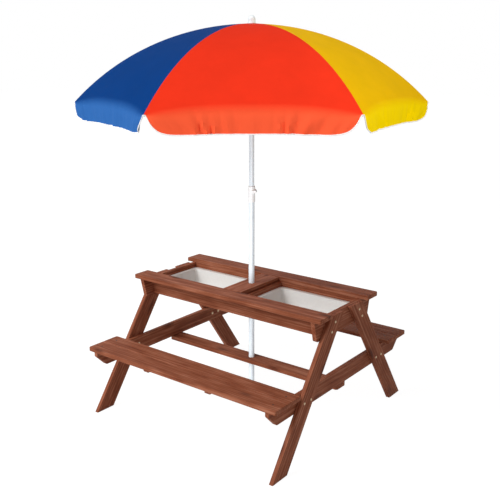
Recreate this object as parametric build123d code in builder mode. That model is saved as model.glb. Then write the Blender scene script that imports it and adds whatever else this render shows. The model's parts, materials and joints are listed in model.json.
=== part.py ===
from build123d import *
import os
from math import acos, atan2, cos, degrees, hypot, radians, sin, sqrt

# A children's picnic table of stained softwood boards: a top with a recess for two lift-out play
# bins, a seat along each side on A-shaped end frames, and a six-rib fabric parasol whose pole drops
# through the middle of the table. Millimetres, +Z up, X along the table, Y to the rear, origin on the
# ground under the pole.

os.makedirs("parts", exist_ok=True)

# Table top
table_height = 495
table_length = 872
table_width = 390
top_plank_width = 74
top_plank_thickness = 16
top_corner_radius = 6
umbrella_plank_width = 84
board_gap = 0.5

# End frames
end_overhang = 12
leg_thickness = 16
leg_width = 68
leg_top_reach = 107
foot_reach = 443
beam_thickness = 16
end_beam_height = 76
end_beam_tip_inset = 5
end_beam_tip_slope = 18
end_beam_corner = 5

# Rails under the top
apron_thickness = 16
apron_height = 68
centre_rail_thickness = 18
centre_rail_height = 60
centre_rail_lap = 6
ledge_width = 12
ledge_height = 14

# Seats
seat_height = 267
seat_thickness = 16
seat_length = 872
seat_reach = 446
seat_board_width = 71.5
seat_corner_radius = 7
seat_beam_height = 60
seat_beam_tip_inset = 2
seat_beam_chamfer = 45
seat_beam_corner = 6
seat_beam_heel = 14
cleat_width = 24
cleat_length = 120
cleat_thickness = 12
cleat_spacing = 289

# Lower stretcher
stretcher_width = 64
stretcher_thickness = 16
stretcher_corner = 8

# Edges and fasteners of the boards
edge_round = 2
bolt_radius = 3
bolt_hole_clearance = 0.2
bolt_head_radius = 4.6
bolt_head_height = 2.5
bolt_head_round = 1.3
top_bolt_drop = 24
top_bolt_pitch = 31
low_bolt_pitch = 40
nut_radius = 5.8
nut_depth = 5
nut_fit = 0.05
screw_radius = 2
screw_head_radius = 4
screw_head_height = 2.5
seat_screw_length = 23
seat_screw_share = 0.25
end_screw_length = 42
end_screw_head_radius = 3.2
stretcher_screw_length = 45
stretcher_screw_pitch = 36

# Bins
bin_rim_drop = 33
bin_wall = 2.5
bin_depth = 57
bin_flange_width = 16
bin_draft = 7
bin_corner_radius = 16
bin_gap = 0.6
bin_seat_gap = 0.3

# Pole
pole_radius = 11
pole_wall = 1
pole_hole_clearance = 1
foot_disc_thickness = 3
foot_plug_length = 24
foot_plug_fit = 0.08
running_gap = 0.3
upper_pole_radius = 9.5
upper_pole_wall = 0.8
upper_pole_overlap = 120
collar_bottom = 808
collar_height = 60
collar_wall = 2
collar_lip = 8
collar_lip_gap = 0.5
button_azimuth = 38
button_drop = 19
button_radius = 3
button_gap = 0.3
button_travel = 2
button_proud = 2.2
button_end_gap = 0.7
boss_reach = 4.5
boss_width = 11
boss_corner_radius = 2.8
boss_height = 34

# Parasol
canopy_radius = 637
canopy_top = 1444
canopy_rise = 271.5
valance_drop = 62
fabric_thickness = 1.2
canopy_hole_radius = 10.5
rib_count = 6
rib_azimuth = -22
rib_depth = 4
rib_width = 4
rib_to_fabric = 1.5
rib_tip_gap = 5.5
rib_tip_radius = 2.6
hinge_radius = 14.5
eye_radius = 2.6
pin_radius = 1.1
pin_fit = 0.05
pin_seat = 2
slot_gap = 0.5
slot_inner_radius = 10.6
hub_radius = 18
hub_height = 20
hub_top_gap = 0.6
ear_drop = 5
ear_radius = 4
strut_reach = 240
strut_depth = 5
strut_thickness = 3
strut_to_rib = 0.5
rivet_radius = 2.2
rivet_gap = 0.3
rivet_head = 1
runner_drop = 250
runner_fit = 0.1
runner_flange_up = 6
runner_flange_down = 8
runner_length = 50
runner_sleeve_radius = 14
runner_button_drop = 30
finial_radius = 13.3
finial_flange_radius = 15.5
finial_flange_height = 3
finial_height = 28
finial_stem_length = 22
finial_seat_gap = 0.3

# Places that follow from those sizes
frame_top = table_height - top_plank_thickness
plank_inner_y = table_width / 2 - top_plank_width
leg_outer_x = table_length / 2 - end_overhang
leg_inner_x = leg_outer_x - leg_thickness
beam_inner_x = leg_inner_x - beam_thickness
apron_outer_y = plank_inner_y + apron_thickness
rail_outer_x = umbrella_plank_width / 2 - centre_rail_lap + centre_rail_thickness
rail_inner_x = umbrella_plank_width / 2 - centre_rail_lap
rim_top = table_height - bin_rim_drop
ledge_top = rim_top - bin_wall - bin_seat_gap
seat_underside = seat_height - seat_thickness
seat_beam_bottom = seat_underside - seat_beam_height
stretcher_bottom = seat_beam_bottom - stretcher_thickness
seat_inner_y = seat_reach - 2 * seat_board_width - board_gap
leg_slope = (foot_reach - leg_top_reach) / frame_top
foot_cut = leg_width * sqrt(1 + leg_slope**2)
pole_inner_radius = pole_radius - pole_wall
upper_inner_radius = upper_pole_radius - upper_pole_wall
collar_top = collar_bottom + collar_height
lower_pole_top = collar_top - collar_lip
collar_radius = pole_radius + collar_wall
button_z = collar_top - button_drop
boss_radius = collar_radius + boss_reach
dome_radius = (canopy_radius**2 + canopy_rise**2) / (2 * canopy_rise)
dome_centre = canopy_top - dome_radius
dome_inner_radius = dome_radius - fabric_thickness
rib_radius = dome_inner_radius - rib_to_fabric - rib_depth / 2
rib_end = canopy_radius - rib_tip_gap
hub_top = dome_centre + sqrt(dome_inner_radius**2 - hub_radius**2) - hub_top_gap
strut_offset = rib_width / 2 + strut_to_rib + strut_thickness / 2
rib_azimuths = [rib_azimuth + k * 360 / rib_count for k in range(rib_count)]


def dome_point(reach, radius):
    """Height of an arc of this radius about the dome's centre, at a distance from the pole."""
    return dome_centre + sqrt(radius**2 - reach**2)


hinge_z = dome_point(hinge_radius, rib_radius)
strut_top_z = dome_point(strut_reach, rib_radius - ear_drop)
runner_z = hinge_z - runner_drop


def radial_plane(azimuth):
    """Upright plane through the pole: local x points outwards along the azimuth, local y up."""
    turn = radians(azimuth)
    return Plane(origin=(0, 0, 0), x_dir=(cos(turn), sin(turn), 0), z_dir=(sin(turn), -cos(turn), 0))


def around(azimuth, reach, sideways, height):
    """A place at this distance out from the pole along an azimuth, and sideways from that line."""
    turn = radians(azimuth)
    return (
        reach * cos(turn) + sideways * sin(turn),
        reach * sin(turn) - sideways * cos(turn),
        height,
    )


def cross_plane(azimuth, reach, sideways, height):
    """Plane at such a place whose normal runs sideways, for hinge pins."""
    turn = radians(azimuth)
    place = around(azimuth, reach, sideways, height)
    return Plane(origin=place, x_dir=(0, 0, 1), z_dir=(sin(turn), -cos(turn), 0))


def outward_plane(azimuth, reach, height):
    """Plane at this distance from the pole whose normal points straight outwards."""
    turn = radians(azimuth)
    return Plane(origin=around(azimuth, reach, 0, height), z_dir=(cos(turn), sin(turn), 0))


def save(builder, name):
    """Names the finished piece and writes it."""
    builder.part.label = name
    export_step(builder.part, f"parts/{name}.step")


def leg_centre_y(height):
    """How far the middle of a leg is from the table's centre line at this height."""
    return foot_reach - foot_cut / 2 - height * leg_slope


def bolt_places(side):
    """Y and Z of the four bolts through one leg, on the front (-1) or rear (1) side."""
    high = frame_top - top_bolt_drop
    low = seat_beam_bottom + seat_beam_height / 2
    heights = [high, high - top_bolt_pitch]
    places = [(side * leg_centre_y(z), z) for z in heights]
    middle = leg_centre_y(low)
    places += [(side * (middle + step * low_bolt_pitch / 2), low) for step in (-1, 1)]
    return places


def seat_screw_places(side):
    """X and Y of the screws that hold one seat's boards on its cleats."""
    places = []
    for end in (-1, 1):
        for row in (0, 1):
            middle = seat_reach - seat_board_width / 2 - row * (seat_board_width + board_gap)
            for step in (-1, 1):
                x = end * cleat_spacing / 2
                y = side * (middle + step * seat_board_width * seat_screw_share)
                places.append((x, y))
    return places


def end_screw_places(side):
    """X and Y of the screws driven down through one seat's boards into the seat beams."""
    x = leg_inner_x - beam_thickness / 2
    rows = [seat_reach - seat_board_width / 2 - row * (seat_board_width + board_gap) for row in (0, 1)]
    return [(end * x, side * y) for end in (-1, 1) for y in rows]


def stretcher_screw_places():
    """X and Y of the screws that hold the stretcher under the seat beams."""
    x = leg_inner_x - beam_thickness / 2
    y = stretcher_screw_pitch / 2
    return [(end * x, step * y) for end in (-1, 1) for step in (-1, 1)]


# Top planks, front and rear, with their outer corners rounded
for side, place in ((-1, "front"), (1, "rear")):
    with BuildPart() as top_plank:
        middle_y = side * (table_width - top_plank_width) / 2
        with Locations((0, middle_y, table_height - top_plank_thickness / 2)):
            Box(table_length, top_plank_width, top_plank_thickness)
        outer_corners = top_plank.edges().filter_by(Axis.Z).sort_by(Axis.Y)
        outer_corners = outer_corners[:2] if side < 0 else outer_corners[-2:]
        fillet(outer_corners, top_corner_radius)
        fillet(top_plank.faces().sort_by(Axis.Z)[-1].edges(), edge_round)
        fillet(top_plank.faces().sort_by(Axis.Z)[0].edges(), edge_round)
    save(top_plank, f"{place}_top_plank")

# Short plank across the middle, with the hole for the pole
with BuildPart() as umbrella_plank:
    with Locations((0, 0, table_height - top_plank_thickness / 2)):
        Box(umbrella_plank_width, 2 * (plank_inner_y - board_gap), top_plank_thickness)
    fillet(umbrella_plank.edges(), edge_round)
    with Locations((0, 0, table_height - top_plank_thickness / 2)):
        Hole(pole_radius + pole_hole_clearance)
save(umbrella_plank, "umbrella_plank")

# End beams under the top planks: the legs are bolted on their outer faces
for end, place in ((-1, "left"), (1, "right")):
    with BuildPart() as end_beam:
        start_x = end * (leg_inner_x + beam_inner_x) / 2 - beam_thickness / 2
        top_reach = table_width / 2 - end_beam_tip_inset
        low_reach = top_reach - end_beam_tip_slope
        with BuildSketch(Plane.YZ.offset(start_x)):
            with BuildLine():
                Polyline(
                    (-top_reach, frame_top),
                    (top_reach, frame_top),
                    (low_reach, frame_top - end_beam_height),
                    (-low_reach, frame_top - end_beam_height),
                    close=True,
                )
            make_face()
        extrude(amount=beam_thickness)
        low_corners = end_beam.edges().filter_by(Axis.X).group_by(Axis.Z)[0]
        chamfer(low_corners, end_beam_corner)
        inner_face = -1 if end > 0 else 1
        for side in (-1, 1):
            spots = bolt_places(side)[:2]
            with BuildSketch(Plane.YZ.offset(start_x)):
                with Locations(*spots):
                    Circle(bolt_radius + bolt_hole_clearance)
            extrude(amount=beam_thickness, mode=Mode.SUBTRACT)
            with BuildSketch(Plane.YZ.offset(end * beam_inner_x)):
                with Locations(*spots):
                    Circle(nut_radius + nut_fit)
            extrude(amount=end * nut_depth, mode=Mode.SUBTRACT)
    save(end_beam, f"{place}_end_beam")

# Aprons along both sides, flush with the planks' inner edges
for side, place in ((-1, "front"), (1, "rear")):
    with BuildPart() as apron:
        with Locations((0, side * (plank_inner_y + apron_thickness / 2), frame_top - apron_height / 2)):
            Box(2 * beam_inner_x, apron_thickness, apron_height)
        fillet(apron.edges().filter_by(Axis.X), edge_round)
    save(apron, f"{place}_apron")

# Centre rails between the aprons: they carry the short plank and part the two bins
for end, place in ((-1, "left"), (1, "right")):
    with BuildPart() as centre_rail:
        middle_x = end * (rail_inner_x + rail_outer_x) / 2
        with Locations((middle_x, 0, frame_top - centre_rail_height / 2)):
            Box(centre_rail_thickness, 2 * plank_inner_y, centre_rail_height)
        fillet(centre_rail.edges().filter_by(Axis.Y), edge_round)
    save(centre_rail, f"{place}_centre_rail")

# Ledges inside the aprons, one along each long side of each bin
with BuildPart() as bin_ledges:
    ledge_length = beam_inner_x - rail_outer_x
    for end in (-1, 1):
        for side in (-1, 1):
            middle_x = end * (rail_outer_x + beam_inner_x) / 2
            middle_y = side * (plank_inner_y - ledge_width / 2)
            with Locations((middle_x, middle_y, ledge_top - ledge_height / 2)):
                Box(ledge_length, ledge_width, ledge_height)
save(bin_ledges, "bin_ledges")

# Lift-out bins: a rim that rests on the ledges and a tapered tray
for end, name in ((-1, "sand_bin"), (1, "water_bin")):
    with BuildPart() as play_bin:
        rim_length = beam_inner_x - rail_outer_x - 2 * bin_gap
        rim_width = 2 * (plank_inner_y - bin_gap)
        tray_length = rim_length - 2 * bin_flange_width
        tray_width = rim_width - 2 * bin_flange_width
        middle = (end * (rail_outer_x + beam_inner_x) / 2, 0)
        with BuildSketch(Plane.XY.offset(rim_top)):
            with Locations(middle):
                RectangleRounded(rim_length, rim_width, edge_round)
        extrude(amount=-bin_wall)
        with BuildSketch(Plane.XY.offset(rim_top)):
            with Locations(middle):
                RectangleRounded(tray_length, tray_width, bin_corner_radius)
        extrude(amount=-bin_depth, taper=bin_draft)
        with BuildSketch(Plane.XY.offset(rim_top)):
            with Locations(middle):
                RectangleRounded(
                    tray_length - 2 * bin_wall, tray_width - 2 * bin_wall, bin_corner_radius - bin_wall
                )
        extrude(amount=-(bin_depth - bin_wall), taper=bin_draft, mode=Mode.SUBTRACT)
    save(play_bin, name)

# Legs, leaning in to the top, bolted outside the end beams and the seat beams
for end, end_name in ((-1, "left"), (1, "right")):
    for side, side_name in ((-1, "front"), (1, "rear")):
        with BuildPart() as leg:
            start_x = end * (leg_outer_x + leg_inner_x) / 2 - leg_thickness / 2
            with BuildSketch(Plane.YZ.offset(start_x)):
                with BuildLine():
                    Polyline(
                        (side * foot_reach, 0),
                        (side * (foot_reach - foot_cut), 0),
                        (side * (foot_reach - foot_cut - frame_top * leg_slope), frame_top),
                        (side * (foot_reach - frame_top * leg_slope), frame_top),
                        close=True,
                    )
                make_face()
            extrude(amount=leg_thickness)
            fillet(leg.edges().filter_by(lambda edge: edge.center().Z > edge_round), edge_round)
            with BuildSketch(Plane.YZ.offset(start_x)):
                with Locations(*bolt_places(side)):
                    Circle(bolt_radius + bolt_hole_clearance)
            extrude(amount=leg_thickness, mode=Mode.SUBTRACT)
        save(leg, f"{side_name}_{end_name}_leg")

# Seat beams, inside the legs, their lower corners cut at 45 degrees and rounded off
for end, place in ((-1, "left"), (1, "right")):
    with BuildPart() as seat_beam:
        start_x = end * (leg_inner_x + beam_inner_x) / 2 - beam_thickness / 2
        reach = seat_reach - seat_beam_tip_inset
        with BuildSketch(Plane.YZ.offset(start_x)):
            with BuildLine():
                Polyline(
                    (-reach, seat_underside),
                    (reach, seat_underside),
                    (reach, seat_beam_bottom + seat_beam_chamfer),
                    (reach - seat_beam_chamfer, seat_beam_bottom),
                    (seat_beam_chamfer - reach, seat_beam_bottom),
                    (-reach, seat_beam_bottom + seat_beam_chamfer),
                    close=True,
                )
            make_face()
        extrude(amount=beam_thickness)
        heels, tips, _ = seat_beam.edges().filter_by(Axis.X).group_by(Axis.Z)
        fillet(heels, seat_beam_heel)
        fillet(tips, seat_beam_corner)
        beam_rims = seat_beam.faces().filter_by(Axis.X).edges().filter_by(
            lambda edge: edge.center().Z < seat_underside - edge_round
        )
        fillet(beam_rims, edge_round)
        for side in (-1, 1):
            spots = bolt_places(side)[2:]
            with BuildSketch(Plane.YZ.offset(start_x)):
                with Locations(*spots):
                    Circle(bolt_radius + bolt_hole_clearance)
            extrude(amount=beam_thickness, mode=Mode.SUBTRACT)
            with BuildSketch(Plane.YZ.offset(end * beam_inner_x)):
                with Locations(*spots):
                    Circle(nut_radius + nut_fit)
            extrude(amount=end * nut_depth, mode=Mode.SUBTRACT)
        with BuildSketch(Plane.XY.offset(seat_beam_bottom)):
            with Locations(*[spot for spot in stretcher_screw_places() if spot[0] * end > 0]):
                Circle(screw_radius)
        extrude(amount=stretcher_screw_length - stretcher_thickness, mode=Mode.SUBTRACT)
        end_spots = end_screw_places(-1) + end_screw_places(1)
        with BuildSketch(Plane.XY.offset(seat_underside)):
            with Locations(*[spot for spot in end_spots if spot[0] * end > 0]):
                Circle(screw_radius)
        extrude(amount=seat_thickness - end_screw_length, mode=Mode.SUBTRACT)
    save(seat_beam, f"{place}_seat_beam")

# Seats: two boards each, side by side, on the beams and two cleats
for side, side_name in ((-1, "front"), (1, "rear")):
    for row, row_name in ((0, "outer"), (1, "inner")):
        with BuildPart() as seat_board:
            middle_y = side * (seat_reach - seat_board_width / 2 - row * (seat_board_width + board_gap))
            with Locations((0, middle_y, seat_height - seat_thickness / 2)):
                Box(seat_length, seat_board_width, seat_thickness)
            upright = seat_board.edges().filter_by(Axis.Z).sort_by(Axis.Y)
            rounded_first = (side < 0) == (row == 0)
            fillet(upright[:2] if rounded_first else upright[-2:], seat_corner_radius)
            fillet(seat_board.faces().sort_by(Axis.Z)[-1].edges(), edge_round)
            fillet(seat_board.faces().sort_by(Axis.Z)[0].edges(), edge_round)
            own_spots = [
                spot for spot in seat_screw_places(side) if abs(spot[1] - middle_y) < seat_board_width / 2
            ]
            with BuildSketch(Plane.XY.offset(seat_underside)):
                with Locations(*own_spots):
                    Circle(screw_radius)
            extrude(amount=seat_screw_length - cleat_thickness, mode=Mode.SUBTRACT)
            end_spots = [
                spot for spot in end_screw_places(side) if abs(spot[1] - middle_y) < seat_board_width / 2
            ]
            for radius, depth in ((screw_radius, seat_thickness), (end_screw_head_radius, screw_head_height)):
                with BuildSketch(Plane.XY.offset(seat_height)):
                    with Locations(*end_spots):
                        Circle(radius)
                extrude(amount=-depth, mode=Mode.SUBTRACT)
        save(seat_board, f"{side_name}_seat_{row_name}_board")

    with BuildPart() as seat_cleats:
        seat_middle_y = side * (seat_reach + seat_inner_y) / 2
        for end in (-1, 1):
            with Locations((end * cleat_spacing / 2, seat_middle_y, seat_underside - cleat_thickness / 2)):
                Box(cleat_width, cleat_length, cleat_thickness)
        with BuildSketch(Plane.XY.offset(seat_underside - cleat_thickness)):
            with Locations(*seat_screw_places(side)):
                Circle(screw_radius)
        extrude(amount=cleat_thickness, mode=Mode.SUBTRACT)
        with BuildSketch(Plane.XY.offset(seat_underside - cleat_thickness)):
            with Locations(*seat_screw_places(side)):
                Circle(screw_head_radius)
        extrude(amount=screw_head_height, mode=Mode.SUBTRACT)
    save(seat_cleats, f"{side_name}_seat_cleats")

# Stretcher board under both seat beams, with the lower hole for the pole
with BuildPart() as lower_stretcher:
    with Locations((0, 0, stretcher_bottom + stretcher_thickness / 2)):
        Box(2 * leg_inner_x, stretcher_width, stretcher_thickness)
    chamfer(lower_stretcher.edges().filter_by(Axis.Z), stretcher_corner)
    fillet(lower_stretcher.edges().filter_by(Axis.X), edge_round)
    with Locations((0, 0, stretcher_bottom + stretcher_thickness / 2)):
        Hole(pole_radius + pole_hole_clearance)
    with BuildSketch(Plane.XY.offset(stretcher_bottom)):
        with Locations(*stretcher_screw_places()):
            Circle(screw_radius)
    extrude(amount=stretcher_thickness, mode=Mode.SUBTRACT)
    with BuildSketch(Plane.XY.offset(stretcher_bottom)):
        with Locations(*stretcher_screw_places()):
            Circle(screw_head_radius)
    extrude(amount=screw_head_height, mode=Mode.SUBTRACT)
save(lower_stretcher, "lower_stretcher")

# Domed bolts through legs and beams, and the round nuts let into the beams' inner faces
with BuildPart() as leg_bolts:
    for end in (-1, 1):
        for side in (-1, 1):
            with BuildSketch(Plane.YZ.offset(end * leg_outer_x)):
                with Locations(*bolt_places(side)):
                    Circle(bolt_head_radius)
            extrude(amount=end * bolt_head_height)
            with BuildSketch(Plane.YZ.offset(end * leg_outer_x)):
                with Locations(*bolt_places(side)):
                    Circle(bolt_radius)
            extrude(amount=-end * (leg_thickness + beam_thickness))
    head_rims = leg_bolts.faces().filter_by(
        lambda face: abs(abs(face.center().X) - leg_outer_x - bolt_head_height) < running_gap
    )
    fillet(head_rims.edges(), bolt_head_round)
save(leg_bolts, "leg_bolts")

with BuildPart() as leg_nuts:
    for end in (-1, 1):
        for side in (-1, 1):
            with BuildSketch(Plane.YZ.offset(end * beam_inner_x)):
                with Locations(*bolt_places(side)):
                    Circle(nut_radius)
                with Locations(*bolt_places(side)):
                    Circle(bolt_radius + nut_fit, mode=Mode.SUBTRACT)
            extrude(amount=end * nut_depth)
save(leg_nuts, "leg_nuts")


def upright_screws(places, face, length, head_radius, way):
    """Flat-headed screws driven up (1) or down (-1) from a face at this height."""
    for radius, depth in ((head_radius, screw_head_height), (screw_radius, length)):
        with BuildSketch(Plane.XY.offset(face)) as outline:
            with Locations(*places):
                Circle(radius)
        extrude(outline.sketch, amount=way * depth)


with BuildPart() as seat_screws:
    spots = seat_screw_places(-1) + seat_screw_places(1)
    upright_screws(spots, seat_underside - cleat_thickness, seat_screw_length, screw_head_radius, 1)
save(seat_screws, "seat_screws")

with BuildPart() as seat_end_screws:
    spots = end_screw_places(-1) + end_screw_places(1)
    upright_screws(spots, seat_height, end_screw_length, end_screw_head_radius, -1)
save(seat_end_screws, "seat_end_screws")

with BuildPart() as stretcher_screws:
    spots = stretcher_screw_places()
    upright_screws(spots, stretcher_bottom, stretcher_screw_length, screw_head_radius, 1)
save(stretcher_screws, "stretcher_screws")

# Plastic foot in the bottom of the pole: the pole turns on it
with BuildPart() as pole_foot:
    with BuildSketch():
        Circle(pole_radius)
    extrude(amount=foot_disc_thickness)
    fillet(pole_foot.edges().sort_by(Axis.Z)[0], pole_wall)
    with BuildSketch(Plane.XY.offset(foot_disc_thickness)):
        Circle(pole_inner_radius - foot_plug_fit)
    extrude(amount=foot_plug_length)
save(pole_foot, "pole_foot")

# Lower pole tube, with the button's hole near its top
with BuildPart() as lower_pole:
    tube_start = foot_disc_thickness + running_gap
    with BuildSketch(Plane.XY.offset(tube_start)):
        Circle(pole_radius)
        Circle(pole_inner_radius, mode=Mode.SUBTRACT)
    extrude(amount=lower_pole_top - tube_start)
    with BuildSketch(outward_plane(button_azimuth, 0, button_z)):
        Circle(button_radius + button_gap)
    extrude(amount=boss_radius, mode=Mode.SUBTRACT)
save(lower_pole, "lower_pole")

# Moulded collar on the lower tube, with a lip round the upper tube and a boss for the button
with BuildPart() as pole_collar:
    with BuildSketch(Plane.XY.offset(collar_bottom)):
        Circle(collar_radius)
    extrude(amount=collar_height)
    fillet(pole_collar.edges().group_by(Axis.Z)[-1], pole_wall)
    fillet(pole_collar.edges().group_by(Axis.Z)[0], pole_wall)
    with BuildSketch(outward_plane(button_azimuth, 0, button_z)):
        RectangleRounded(boss_height, boss_width, boss_corner_radius)
    extrude(amount=boss_radius)
    boss_rim = pole_collar.faces().filter_by(
        lambda face: hypot(face.center().X, face.center().Y) > boss_radius - edge_round
    )
    fillet(boss_rim.edges(), edge_round)
    with BuildSketch(Plane.XY.offset(collar_bottom)):
        Circle(pole_radius)
    extrude(amount=collar_height - collar_lip, mode=Mode.SUBTRACT)
    with BuildSketch(Plane.XY.offset(collar_bottom)):
        Circle(upper_pole_radius + collar_lip_gap)
    extrude(amount=collar_height, mode=Mode.SUBTRACT)
    with BuildSketch(outward_plane(button_azimuth, 0, button_z)):
        Circle(button_radius + button_gap)
    extrude(amount=boss_radius, mode=Mode.SUBTRACT)
save(pole_collar, "pole_collar")


def push_button(azimuth, inner, outer, height):
    """Round button that slides towards the pole."""
    with BuildSketch(outward_plane(azimuth, inner, height)) as outline:
        Circle(button_radius)
    extrude(outline.sketch, amount=outer - inner)


with BuildPart() as lock_button:
    button_inner = upper_pole_radius + button_end_gap + button_travel
    push_button(button_azimuth, button_inner, boss_radius + button_proud, button_z)
save(lock_button, "lock_button")

# Upper pole tube: it stands inside the lower one and carries the parasol's hub
with BuildPart() as upper_pole:
    upper_start = lower_pole_top - upper_pole_overlap
    with BuildSketch(Plane.XY.offset(upper_start)):
        Circle(upper_pole_radius)
        Circle(upper_inner_radius, mode=Mode.SUBTRACT)
    extrude(amount=hub_top - upper_start)
save(upper_pole, "upper_pole")


def cut_slots(centre, width, low, high):
    """Radial slots in a hub, each to one side of its azimuth by centre."""
    depth = 2 * (hub_radius - slot_inner_radius)
    for azimuth in rib_azimuths:
        spot = around(azimuth, slot_inner_radius + depth / 2, centre, (low + high) / 2)
        with Locations(Location(spot, (0, 0, azimuth))):
            Box(depth, width, high - low, mode=Mode.SUBTRACT)


def hinge_pins(centre, height, half_length, mode):
    """Short pins across the slots of a hub, or their holes."""
    for azimuth in rib_azimuths:
        with BuildSketch(cross_plane(azimuth, hinge_radius, centre, height)) as outline:
            Circle(pin_radius)
        extrude(outline.sketch, amount=half_length, both=True, mode=mode)


crown_slot = rib_width + 2 * slot_gap
runner_slot = strut_thickness + 2 * slot_gap

# Hub at the top of the pole, with a slot for each rib
with BuildPart() as crown_hub:
    with BuildSketch(Plane.XY.offset(hub_top - hub_height)):
        Circle(hub_radius)
        Circle(upper_pole_radius, mode=Mode.SUBTRACT)
    extrude(amount=hub_height)
    cut_slots(0, crown_slot, hub_top - hub_height - edge_round, hub_top + edge_round)
    hinge_pins(0, hinge_z, crown_slot / 2 + pin_seat, Mode.SUBTRACT)
save(crown_hub, "crown_hub")

with BuildPart() as crown_pins:
    hinge_pins(0, hinge_z, crown_slot / 2 + pin_seat, Mode.ADD)
save(crown_pins, "crown_pins")

# Finial on top, its stem in the bore of the upper pole
with BuildPart() as finial:
    finial_base = canopy_top + finial_seat_gap
    shoulder = finial_base + finial_flange_height
    with BuildSketch(Plane.XZ):
        with BuildLine():
            Polyline(
                (0, finial_base - finial_stem_length),
                (upper_inner_radius, finial_base - finial_stem_length),
                (upper_inner_radius, finial_base),
                (finial_flange_radius, finial_base),
                (finial_flange_radius, shoulder),
                (finial_radius, shoulder),
            )
            knob_height = finial_base + finial_height - shoulder
            waist = (finial_radius, shoulder + knob_height - finial_radius)
            Line((finial_radius, shoulder), waist)
            CenterArc((0, waist[1]), finial_radius, 0, 90)
            Line((0, finial_base + finial_height), (0, finial_base - finial_stem_length))
        make_face()
    revolve(axis=Axis.Z)
save(finial, "finial")

# Runner that slides on the upper pole and pushes the struts
with BuildPart() as runner:
    with BuildSketch(Plane.XY.offset(runner_z - runner_flange_down)):
        Circle(hub_radius)
    extrude(amount=runner_flange_up + runner_flange_down)
    with BuildSketch(Plane.XY.offset(runner_z + runner_flange_up)):
        Circle(runner_sleeve_radius)
    extrude(amount=-runner_length)
    with BuildSketch(Plane.XY.offset(runner_z + runner_flange_up)):
        Circle(upper_pole_radius + runner_fit)
    extrude(amount=-runner_length, mode=Mode.SUBTRACT)
    slot_low = runner_z - eye_radius - 2 * slot_gap
    cut_slots(strut_offset, runner_slot, slot_low, runner_z + runner_flange_up + edge_round)
    hinge_pins(strut_offset, runner_z, runner_slot / 2 + pin_seat, Mode.SUBTRACT)
    with BuildSketch(outward_plane(button_azimuth, 0, runner_z - runner_button_drop)):
        Circle(button_radius + button_gap)
    extrude(amount=hub_radius, mode=Mode.SUBTRACT)
save(runner, "runner")

with BuildPart() as runner_pins:
    hinge_pins(strut_offset, runner_z, runner_slot / 2 + pin_seat, Mode.ADD)
save(runner_pins, "runner_pins")

with BuildPart() as runner_button:
    outer_end = runner_sleeve_radius + button_proud
    push_button(button_azimuth, button_inner, outer_end, runner_z - runner_button_drop)
save(runner_button, "runner_button")

# Ribs: bowed bars that follow the dome, each with an eye at the hub and an ear for its strut
hub_angle = degrees(acos(hinge_radius / rib_radius))
tip_angle = degrees(acos(rib_end / rib_radius))
tip_z = dome_point(rib_end, rib_radius)
for number, azimuth in enumerate(rib_azimuths, start=1):
    with BuildPart() as rib:
        with BuildSketch(radial_plane(azimuth)):
            with BuildLine():
                sweep_angle = hub_angle - tip_angle
                top_arc = CenterArc((0, dome_centre), rib_radius + rib_depth / 2, tip_angle, sweep_angle)
                low_arc = CenterArc((0, dome_centre), rib_radius - rib_depth / 2, tip_angle, sweep_angle)
                Line(top_arc @ 0, low_arc @ 0)
                Line(top_arc @ 1, low_arc @ 1)
            make_face()
            with Locations((hinge_radius, hinge_z)):
                Circle(eye_radius)
            with Locations((rib_end, tip_z)):
                Circle(rib_tip_radius)
            with Locations((strut_reach, strut_top_z)):
                Circle(ear_radius)
            with Locations((hinge_radius, hinge_z)):
                Circle(pin_radius + pin_fit, mode=Mode.SUBTRACT)
        extrude(amount=rib_width / 2, both=True)
    save(rib, f"rib_{number}")

# Struts from the runner to the ribs, beside each rib, with a rivet at the outer end
strut_angle = degrees(atan2(strut_top_z - runner_z, strut_reach - hinge_radius))
strut_length = hypot(strut_top_z - runner_z, strut_reach - hinge_radius)
for number, azimuth in enumerate(rib_azimuths, start=1):
    with BuildPart() as strut:
        near_side = radial_plane(azimuth).offset(rib_width / 2 + strut_to_rib)
        with BuildSketch(near_side):
            middle = ((hinge_radius + strut_reach) / 2, (runner_z + strut_top_z) / 2)
            with Locations(middle):
                Rectangle(strut_length, strut_depth, rotation=strut_angle)
            with Locations((hinge_radius, runner_z), (strut_reach, strut_top_z)):
                Circle(eye_radius)
            with Locations((hinge_radius, runner_z)):
                Circle(pin_radius + pin_fit, mode=Mode.SUBTRACT)
        extrude(amount=strut_thickness)
        with BuildSketch(radial_plane(azimuth).offset(rib_width / 2 + rivet_gap)):
            with Locations((strut_reach, strut_top_z)):
                Circle(rivet_radius)
        extrude(amount=strut_to_rib - rivet_gap + strut_thickness + rivet_head)
    save(strut, f"strut_{number}")

# Canopy panels, each stretched straight from one rib to the next, with a hanging valance
outer_start = degrees(acos(canopy_radius / dome_radius))
outer_sweep = degrees(acos(canopy_hole_radius / dome_radius)) - outer_start
inner_start = degrees(acos((canopy_radius - fabric_thickness) / dome_inner_radius))
inner_sweep = degrees(acos(canopy_hole_radius / dome_inner_radius)) - inner_start
hem_z = canopy_top - canopy_rise - valance_drop
for number, azimuth in enumerate(rib_azimuths, start=1):
    with BuildPart() as panel:
        for edge_azimuth in (azimuth, azimuth + 360 / rib_count):
            with BuildSketch(radial_plane(edge_azimuth)):
                with BuildLine():
                    outer_arc = CenterArc((0, dome_centre), dome_radius, outer_start, outer_sweep)
                    inner_arc = CenterArc((0, dome_centre), dome_inner_radius, inner_start, inner_sweep)
                    Polyline(
                        outer_arc @ 0,
                        (canopy_radius, hem_z),
                        (canopy_radius - fabric_thickness, hem_z),
                        inner_arc @ 0,
                    )
                    Line(outer_arc @ 1, inner_arc @ 1)
                make_face()
        loft(ruled=True)
    save(panel, f"canopy_panel_{number}")
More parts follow.
